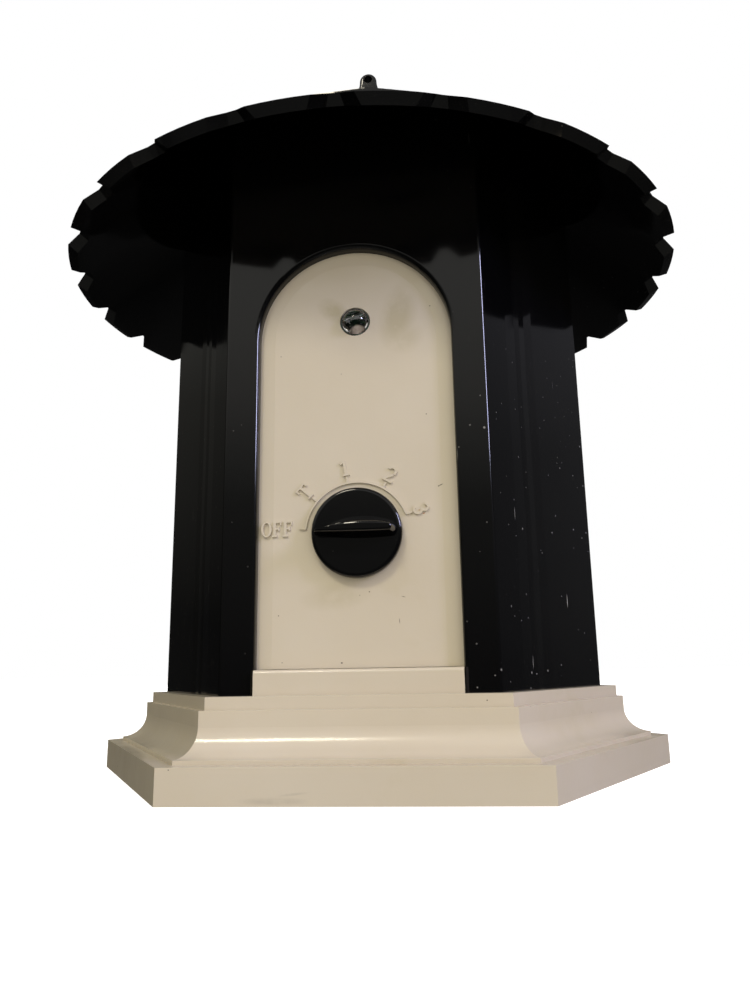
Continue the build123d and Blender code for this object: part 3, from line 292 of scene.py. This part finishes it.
def specks(s, scale, size, keep, vector=None):
    """Sparse spots near the centres of a few cells: round dust, or hairlines where stretched. 0 to 1."""
    v = s.node("ShaderNodeTexVoronoi")
    v.inputs["Scale"].default_value = scale
    s.link(vector or s.coords, v.inputs["Vector"])
    near = s.ramp(v.outputs["Distance"], ((0.0, 1.0), (size * 0.6, 0.8), (size, 0.0)))
    lot = s.node("ShaderNodeSeparateColor")
    s.link(v.outputs["Color"], lot.inputs[0])
    chosen = s.math("LESS_THAN", lot.outputs[0], keep)
    return s.math("MULTIPLY", near, chosen)


def hairlines(s, scale, keep, turns):
    """Fine short scratches in a few directions, each a stretched spot. 0 to 1."""
    marks = 0.0
    for turn in turns:
        marks = s.math("MAXIMUM", marks, specks(s, scale, 0.06, keep, s.stretched((1, 1, 0.09), turn)))
    return marks


def spot(s, centre, long, wide, turn=0.0):
    """1 at a place on the control side, down to 0 at the edge of an ellipse. Sizes in mm, turn in degrees."""
    mapping = s.node("ShaderNodeMapping", vector_type="TEXTURE")
    mapping.inputs["Location"].default_value = (centre[0] * MM, 0, centre[1] * MM)
    mapping.inputs["Rotation"].default_value = (0, -math.radians(turn), 0)
    mapping.inputs["Scale"].default_value = (long * MM, 1, wide * MM)
    s.link(s.coords, mapping.inputs["Vector"])
    flat = s.node("ShaderNodeVectorMath", operation="MULTIPLY")
    s.link(mapping.outputs["Vector"], flat.inputs[0])
    flat.inputs[1].default_value = (1, 0, 1)
    reach = s.node("ShaderNodeVectorMath", operation="LENGTH")
    s.link(flat.outputs["Vector"], reach.inputs[0])
    place = s.node("ShaderNodeSeparateXYZ")
    s.link(s.coords, place.inputs[0])
    front = s.math("LESS_THAN", place.outputs["Y"], 0.0)
    return s.math("MULTIPLY", front, s.ramp(reach.outputs["Value"], ((0.35, 1.0), (1.0, 0.0))))


def spots(s, places):
    """The strongest of several spots, each scaled by its own strength."""
    total = 0.0
    for strength, *where in places:
        total = s.math("MAXIMUM", total, s.math("MULTIPLY", spot(s, *where), strength))
    return total


def worn_side(s):
    """1 on the lower right of the casing, where most dust and scratches are, down to a trace elsewhere."""
    place = s.node("ShaderNodeSeparateXYZ")
    s.link(s.coords, place.inputs[0])
    right = s.ramp(s.math("MULTIPLY_ADD", place.outputs["X"], 10.0), ((0.1, 0.12), (0.42, 1.0)))
    low = s.ramp(s.math("MULTIPLY", place.outputs["Z"], 10.0), ((0.65, 1.0), (1.0, 0.12)))
    return s.math("MULTIPLY", right, low)


# ---------------------------------------------------------------- materials
# Marks and painted shade on the control side: strength, (x, z) and half sizes in mm, turn in degrees.
# Painted shade: the first three darken the top of the panel where the roof's eave shades it; the last is a
# darker patch below the knob.
EAVE_SHADE_AND_PATCHES = ((1.0, (-4.2, 87.6), 3.6, 2.4, -35), (0.9, (8.2, 85.8), 3.8, 7.5, -12),
            (0.5, (9.5, 81.0), 4.0, 3.0, 30), (0.5, (-4.0, 33.0), 7.0, 2.8, 6))
GRIT = ((1.0, (15.2, 52.5), 0.55, 0.10, 25), (1.0, (14.8, 52.3), 0.18, 0.14), (1.0, (13.0, 66.0), 0.14, 0.14),
        (0.9, (2.0, 33.6), 0.16, 0.14), (0.8, (8.0, 32.6), 0.45, 0.08, -15), (0.7, (7.2, 28.4), 0.09, 0.6, 5),
        (1.0, (-3.0, 21.4), 0.24, 0.16), (0.8, (-13.5, 21.6), 0.15, 0.1), (0.6, (-2.7, 74.6), 0.14, 0.12))
RUST = ((1.0, (12.0, 47.4), 0.35, 0.16, 20), (0.8, (11.2, 48.0), 0.2, 0.12))
RUBS = ((0.35, (-12.0, 0.8), 6.0, 0.7, 0), (0.3, (-9.0, 1.8), 3.0, 0.25, 6))

# Sink marks outside the ribs that hold the circuit board: distances from the middle, half width, how far they
# wander, and how far the marks stay from the seam between the casing halves, all in mm.
SINKS = (30.9, 33.3)
SINK_HALF = 2.0
SINK_WANDER = 0.4
SEAM_CLEAR = 0.5


def black_gloss(name, dust=1.0, rough=0.09, sinks=()):
    """Glossy black moulding with orange peel, dust, wipe marks and hairline scratches."""
    s = Shader(name)
    dots = s.math("MAXIMUM", specks(s, 300, 0.08, 0.3), specks(s, 700, 0.12, 0.22))
    hairs = hairlines(s, 420, 0.3, ((0.5, 0.2, 0.1), (-0.6, 0.3, 0.9), (1.2, 0.1, 2.0)))
    where = s.math("MULTIPLY", worn_side(s), s.ramp(s.noise(45, 3.0), ((0.40, 0.25), (0.62, 1.0))))
    marks = s.math("MULTIPLY", s.math("MAXIMUM", dots, hairs), s.math("MULTIPLY", where, dust))
    film = (0.0026, 0.0026, 0.0028)
    if sinks:
        film = s.mix(dust_film(s), film, (0.0052, 0.0052, 0.0048))
    s.to("Base Color", s.mix(marks, film, (0.6, 0.6, 0.57)))
    haze = s.ramp(s.noise(46, 4.0, 0.6), ((0.35, rough * 0.75), (0.7, rough * 1.5)))
    s.to("Roughness", s.math("ADD", haze, s.math("MULTIPLY", marks, 0.5)))
    shape = s.bump(s.noise(300, 2.0, 0.5), 0.03, 0.0002)
    if sinks:
        shape = s.bump(sink_lines(s, sinks), 1.0, 0.00015, shape)
    s.to("Normal", s.bump(marks, 0.15, 0.00008, shape))
    s.set(IOR=1.5)
    return s.material


def dust_film(s):
    """1 on the outer part of the two front side faces, where a grey film lies, with a wandering edge."""
    place = s.node("ShaderNodeSeparateXYZ")
    s.link(s.coords, place.inputs[0])
    out = s.math("MULTIPLY", s.math("ABSOLUTE", place.outputs["X"], 0.0), 1 / MM)
    edge = s.math("ADD", out, s.math("MULTIPLY_ADD", s.noise(24, 3.0), 2.0, -1.0))
    beyond = s.ramp(s.math("MULTIPLY", edge, 0.02), ((0.61, 0.0), (0.64, 1.0)))
    front = s.math("LESS_THAN", place.outputs["Y"], -SEAM_CLEAR * MM)
    cloud = s.ramp(s.noise(34, 4.0, 0.6, s.stretched((1, 1, 2.2))), ((0.35, 0.45), (0.65, 1.0)))
    return s.math("MULTIPLY", s.math("MULTIPLY", beyond, cloud), front)


def sink_lines(s, places):
    """Height of the shallow upright hollows outside a moulding's inner ribs, at distances from the middle."""
    place = s.node("ShaderNodeSeparateXYZ")
    s.link(s.coords, place.inputs[0])
    out = s.math("ABSOLUTE", place.outputs["X"], 0.0)
    wander = s.math("MULTIPLY_ADD", s.noise(30, 2.0), 2 * SINK_WANDER * MM, -SINK_WANDER * MM)
    front = s.math("LESS_THAN", place.outputs["Y"], -SEAM_CLEAR * MM)
    deep = 0.0
    for at in places:
        gap = s.math("ABSOLUTE", s.math("SUBTRACT", s.math("ADD", out, wander), at * MM), 0.0)
        share = s.math("MULTIPLY", gap, 1 / (SINK_HALF * MM))
        deep = s.math("MAXIMUM", deep, s.ramp(share, ((0.0, 1.0), (0.5, 0.5), (1.0, 0.0))))
    return s.math("MULTIPLY", s.math("MULTIPLY", deep, front), -1.0)


def ivory(name):
    """Semi-gloss ivory moulding: faint flow marks, smudges, painted shade of the roof's eave at the top of the
    panel, black flecks, grit and scuffs.
    """
    s = Shader(name)
    flow = s.ramp(s.noise(22, 4.0, 0.6), ((0.35, 0.0), (0.7, 1.0)))
    tone = s.mix(flow, (0.64, 0.585, 0.475), (0.60, 0.54, 0.42))
    smudge = s.ramp(s.noise(38, 5.0, 0.62), ((0.60, 0.0), (0.72, 0.55)))
    tone = s.mix(smudge, tone, (0.56, 0.50, 0.35))
    patchy = s.ramp(s.noise(260, 5.0, 0.7), ((0.30, 0.4), (0.55, 1.0)))
    # Painted shade of the eave at the top of the panel, and a darker patch below the knob, both broken up by a
    # patchy noise.
    eave_shade_and_patches = s.math("MULTIPLY", spots(s, EAVE_SHADE_AND_PATCHES), patchy)
    tone = s.mix(s.math("MULTIPLY", eave_shade_and_patches, 0.75), tone, (0.47, 0.42, 0.27))
    tone = s.mix(s.math("MULTIPLY", spots(s, RUBS), patchy), tone, (0.36, 0.33, 0.27))
    fleck = s.math("MAXIMUM", specks(s, 150, 0.035, 0.10), specks(s, 420, 0.06, 0.04))
    scuff = hairlines(s, 360, 0.08, ((0.3, 0.2, 0.5), (1.2, 0.4, -0.8)))
    tone = s.mix(s.math("MULTIPLY", scuff, 0.35), tone, (0.22, 0.18, 0.14))
    tone = s.mix(spots(s, RUST), tone, (0.42, 0.20, 0.08))
    fleck = s.math("MAXIMUM", fleck, spots(s, GRIT))
    s.to("Base Color", s.mix(fleck, tone, (0.05, 0.04, 0.035)))
    s.to("Roughness", s.ramp(s.noise(60, 4.0, 0.6), ((0.3, 0.13), (0.75, 0.24))))
    grain = s.bump(s.noise(900, 3.0, 0.6), 0.05, 0.0003)
    s.to("Normal", s.bump(s.math("MAXIMUM", scuff, fleck), 0.12, 0.0001, grain))
    s.set(IOR=1.5, Subsurface_Weight=0.08, Subsurface_Scale=0.002)
    s.bsdf.inputs["Subsurface Radius"].default_value = (1.0, 0.8, 0.5)
    return s.material


def inner_black(name):
    """Fine matte black moulding for pieces inside and underneath."""
    s = Shader(name)
    s.to("Base Color", s.mix(s.noise(120, 3.0), (0.018, 0.018, 0.019), (0.03, 0.03, 0.031)))
    s.to("Roughness", s.ramp(s.noise(300, 3.0), ((0.3, 0.42), (0.7, 0.6))))
    s.to("Normal", s.bump(s.noise(1800, 2.0), 0.18, 0.0002))
    return s.material


def metal(name, colour, rough, streak=(1, 1, 1)):
    """Bare metal with fine turning or drawing marks."""
    s = Shader(name)
    marks = s.noise(1400, 3.0, 0.6, s.stretched(streak))
    s.to("Base Color", s.mix(marks, tuple(c * 0.86 for c in colour), colour))
    s.to("Roughness", s.ramp(marks, ((0.3, rough * 0.8), (0.7, rough * 1.3))))
    s.to("Normal", s.bump(marks, 0.12, 0.0001))
    s.set(Metallic=1.0)
    return s.material


def rubber(name):
    """Matt black rubber of the seals and the microphone's boot."""
    s = Shader(name)
    s.to("Base Color", s.mix(s.noise(200, 3.0), (0.02, 0.02, 0.02), (0.035, 0.035, 0.034)))
    s.to("Roughness", s.ramp(s.noise(500, 3.0), ((0.3, 0.7), (0.7, 0.9))))
    s.to("Normal", s.bump(s.noise(1500, 2.0), 0.2, 0.0002))
    return s.material


def lamp_cup(name):
    """Stamped reflector seen through the lens: dull silver with a warm cast."""
    s = Shader(name)
    marks = s.noise(2600, 2.0)
    s.to("Base Color", s.mix(marks, (0.27, 0.22, 0.18), (0.38, 0.32, 0.27)))
    s.to("Roughness", s.ramp(marks, ((0.3, 0.38), (0.7, 0.5))))
    s.to("Normal", s.bump(marks, 0.1, 0.00005))
    s.set(Metallic=0.5)
    return s.material


def clear_lens(name):
    """Clear lamp epoxy with the faintest moulding ripple."""
    s = Shader(name)
    s.set(Transmission_Weight=1.0, IOR=1.53)
    s.to("Base Color", s.mix(s.noise(500, 2.0), (0.97, 0.98, 0.97), (0.93, 0.94, 0.92)))
    s.to("Roughness", s.ramp(s.noise(350, 2.0), ((0.3, 0.01), (0.7, 0.05))))
    return s.material


def plain_plastic(name, dark, light, rough):
    """Small coloured piece with a slight mottle."""
    s = Shader(name)
    s.to("Base Color", s.mix(s.noise(260, 3.0), dark, light))
    s.to("Roughness", s.ramp(s.noise(420, 3.0), ((0.3, rough * 0.8), (0.7, rough * 1.25))))
    s.to("Normal", s.bump(s.noise(1300, 2.0), 0.08, 0.0002))
    return s.material


FINISHES = {
    "black_casing": black_gloss("black_casing_gloss", sinks=SINKS),
    "black_knob": black_gloss("black_knob_gloss", dust=0.3, rough=0.07),
    "ivory_casing": ivory("ivory_moulding"),
    "black_inner": inner_black("black_matte"),
    "screw_steel": metal("zinc_plate", (0.62, 0.62, 0.60), 0.32),
    "spindle_steel": metal("turned_steel", (0.68, 0.68, 0.68), 0.25, (1, 12, 1)),
    "soft_rubber": rubber("seal_rubber"),
    "clear_lens": clear_lens("lamp_epoxy"),
    "board_green": plain_plastic("solder_mask", (0.02, 0.13, 0.05), (0.03, 0.2, 0.07), 0.35),
    "chip_black": plain_plastic("chip_resin", (0.02, 0.02, 0.02), (0.035, 0.035, 0.035), 0.6),
    "transformer_tape": plain_plastic("winding_tape", (0.6, 0.42, 0.05), (0.75, 0.55, 0.08), 0.4),
    "capacitor_sleeve": plain_plastic("shrink_sleeve", (0.015, 0.03, 0.16), (0.02, 0.05, 0.24), 0.3),
    "contact_brass": metal("contact_brass", (0.78, 0.58, 0.27), 0.3),
    "cone_aluminium": metal("drawn_aluminium", (0.78, 0.78, 0.79), 0.35),
    "lamp_cup": lamp_cup("stamped_reflector"),
    "battery_jacket": plain_plastic("battery_jacket", (0.08, 0.09, 0.1), (0.13, 0.14, 0.16), 0.3),
    "wire_red": plain_plastic("wire_red", (0.42, 0.01, 0.01), (0.55, 0.02, 0.02), 0.45),
    "wire_black": plain_plastic("wire_black", (0.015, 0.015, 0.015), (0.03, 0.03, 0.03), 0.45),
}


def dress(piece, slot):
    """Gives a piece its finish, whatever slots its mesh came with."""
    piece.data.materials.clear()
    piece.data.materials.append(FINISHES[slot])


def dress_frame():
    """Gives every CAD node the finish of its material slot."""
    for entry in frame["record"]["subparts"]:
        dress(NODES[entry["node"]], entry["material_slot"])


# ---------------------------------------------------------------- inside the lamp
# All in mm. The cup: its depth behind the dome's tip, and its outline as (distance back, radius). The square
# posts: distance from the middle, half width, depth behind the cup's mouth, and gap to the lamp's back face.
CUP_SETBACK = 4.2
CUP_OUTLINE = ((0.60, 0.26), (0.0, 0.52), (0.0, 0.66), (0.95, 0.60), (0.95, 0.02), (0.60, 0.02))
POST_X = 1.27
POST_HALF = 0.25
POST_SETBACK = 1.4
POST_FOOT = 0.3


def new_piece(name, mesh, finish, body):
    """Adds a piece that rides on a body and a finish of its own."""
    piece = bpy.data.objects.new(name, mesh)
    bpy.context.scene.collection.objects.link(piece)
    dress(piece, finish)
    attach(piece, body)
    return piece


def turned(name, outline, at, steps=40):
    """Mesh turned about a line along Y through a point, from an outline of (distance along Y, radius)."""
    shape = bmesh.new()
    rings = []
    for along, radius in outline:
        ring = []
        for k in range(steps):
            angle = 2 * math.pi * k / steps
            x = at.x + radius * math.cos(angle)
            z = at.z + radius * math.sin(angle)
            ring.append(shape.verts.new((x, at.y + along, z)))
        rings.append(ring)
    for near, far in zip(rings, rings[1:]):
        for k in range(steps):
            shape.faces.new((near[k], near[(k + 1) % steps], far[(k + 1) % steps], far[k]))
    for ring in (rings[0], rings[-1]):
        shape.faces.new(ring)
    bmesh.ops.recalc_face_normals(shape, faces=shape.faces)
    mesh = bpy.data.meshes.new(name)
    shape.to_mesh(mesh)
    shape.free()
    for face in mesh.polygons:
        face.use_smooth = True
    return mesh


def block(shape, low, high):
    """Adds a box between two corners to a bmesh."""
    made = bmesh.ops.create_cube(shape, size=1.0)
    middle = (Vector(low) + Vector(high)) / 2
    size = Vector(high) - Vector(low)
    bmesh.ops.scale(shape, verts=made["verts"], vec=size)
    bmesh.ops.translate(shape, verts=made["verts"], vec=middle)


def lamp_inside():
    """The reflector cup and the two posts that show through the clear lens."""
    low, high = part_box("led_lens")
    middle = (low + high) / 2
    mouth = Vector((middle.x, low.y + CUP_SETBACK * MM, middle.z))
    cup = turned("lamp_cup", [(along * MM, radius * MM) for along, radius in CUP_OUTLINE], mouth)
    new_piece("lamp_cup", cup, "lamp_cup", "housing")
    posts = bmesh.new()
    front = mouth.y + POST_SETBACK * MM
    foot = high.y - POST_FOOT * MM
    half = POST_HALF * MM
    for x in (middle.x - POST_X * MM, middle.x + POST_X * MM):
        block(posts, (x - half, front, middle.z - half), (x + half, foot, middle.z + half))
    mesh = bpy.data.meshes.new("lamp_posts")
    posts.to_mesh(mesh)
    posts.free()
    new_piece("lamp_posts", mesh, "lamp_cup", "housing")


make_camera()
make_world()
make_floor()
for light in LIGHTS:
    area_light(*light)
bpy.context.scene.view_settings.view_transform = "Standard"
dress_frame()
lamp_inside()
